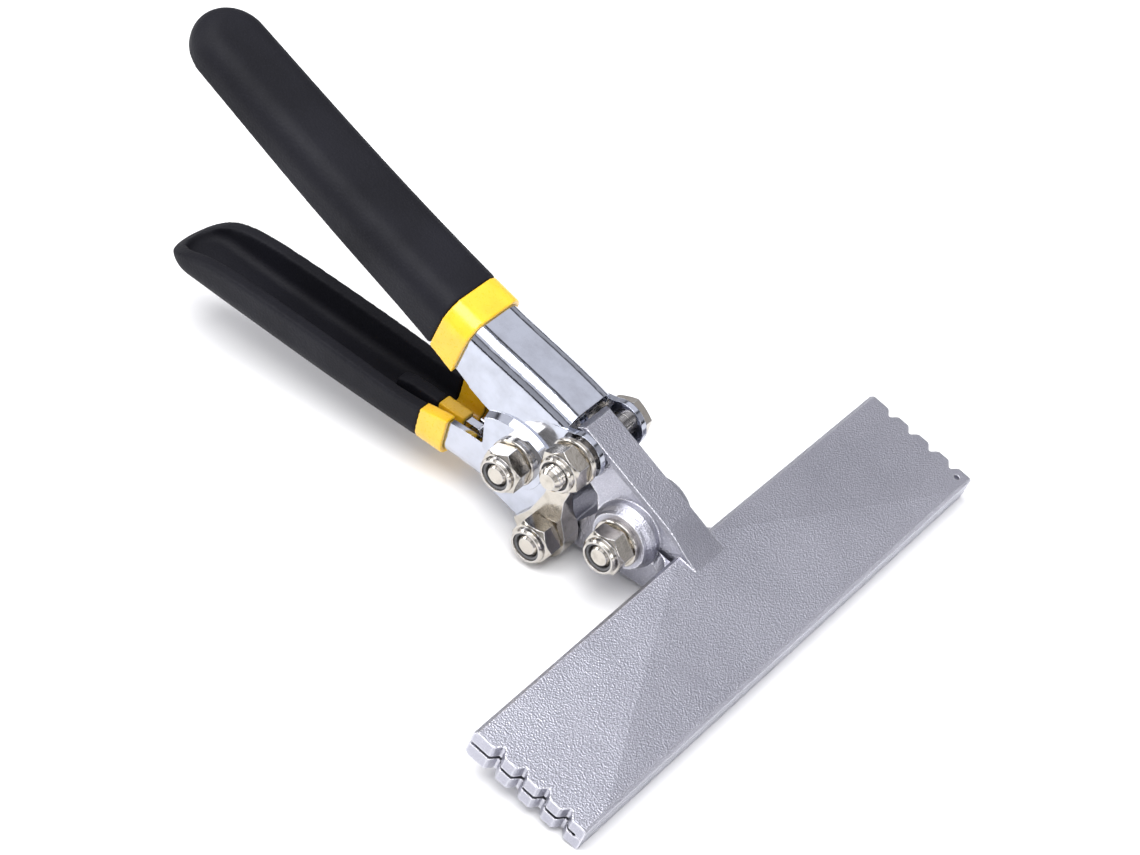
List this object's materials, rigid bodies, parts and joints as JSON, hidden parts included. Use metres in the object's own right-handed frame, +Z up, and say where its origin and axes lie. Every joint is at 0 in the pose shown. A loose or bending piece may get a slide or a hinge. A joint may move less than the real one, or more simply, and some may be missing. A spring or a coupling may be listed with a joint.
{
  "type": "hand seamer",
  "caption": "Hand seamer for bending sheet metal edges: two wide flat jaws closed by two dipped channel handles through a compound pivot linkage.",
  "frame": {"origin": "centre of the bounding box's footprint, on the surface the tool lies on (jaw front edge and stop plate touch it)", "axes": "+X from the handles towards the jaws, +Y along the jaws, +Z up; the jaws' meeting plane tilts 14.5 degrees nose down"},
  "size_m": [0.1843, 0.1524, 0.09],
  "materials": {
    "satin_cast_chrome": "satin plated casting with a fine pebbled skin",
    "bright_chrome": "bright plated pressed sheet",
    "nickel_plate": "nickel plated steel, slightly warm",
    "black_dip": "matte grained dip coating",
    "yellow_dip": "glossy dip coating",
    "nylon_insert": "plain nylon"
  },
  "bodies": {
    "upper_jaw": {"upper_jaw": "satin_cast_chrome", "upper_pivot_collar": "nickel_plate", "jaw_pivot_bolt": "nickel_plate", "jaw_pivot_nut": "nickel_plate", "jaw_pivot_nut_ring": "nylon_insert", "jaw_pivot_washers": "nickel_plate", "upper_handle_bolt": "nickel_plate", "upper_handle_nut": "nickel_plate", "upper_handle_nut_ring": "nylon_insert", "upper_handle_washers": "nickel_plate"},
    "lower_jaw": {"lower_jaw": "satin_cast_chrome"},
    "upper_handle": {"upper_handle": "bright_chrome", "upper_grip": "black_dip", "upper_grip_band": "yellow_dip", "handle_link_spacer": "nickel_plate", "handle_link_bolt": "nickel_plate", "handle_link_nut": "nickel_plate", "handle_link_nut_ring": "nylon_insert", "handle_link_washers": "nickel_plate"},
    "lower_handle": {"lower_handle": "bright_chrome", "lower_handle_rib": "bright_chrome", "lower_grip": "black_dip", "lower_grip_band": "yellow_dip", "stop_plate": "nickel_plate", "lower_handle_bolt": "nickel_plate", "lower_handle_nut": "nickel_plate", "lower_handle_nut_ring": "nylon_insert"}
  },
  "joints": [
    {"name": "jaw_pivot", "type": "hinge", "parent": "upper_jaw", "child": "lower_jaw", "pos_m": [0.04977, 0, 0.0169], "axis": [0, 1, 0], "range_deg": [0, 18]},
    {"name": "upper_handle_pivot", "type": "hinge", "parent": "upper_jaw", "child": "upper_handle", "pos_m": [0.03565, 0, 0.03247], "axis": [0, 1, 0], "range_deg": [0, 22.2]},
    {"name": "lower_handle_pivot", "type": "hinge", "parent": "lower_jaw", "child": "lower_handle", "pos_m": [0.02941, 0, 0.0062], "axis": [0, 1, 0], "range_deg": [-19, 0]}
  ],
  "couplings": [
    {"joint": "upper_handle_pivot", "follows": "jaw_pivot", "ratio": 1.2261},
    {"joint": "lower_handle_pivot", "follows": "jaw_pivot", "ratio": -1.0504}
  ]
}
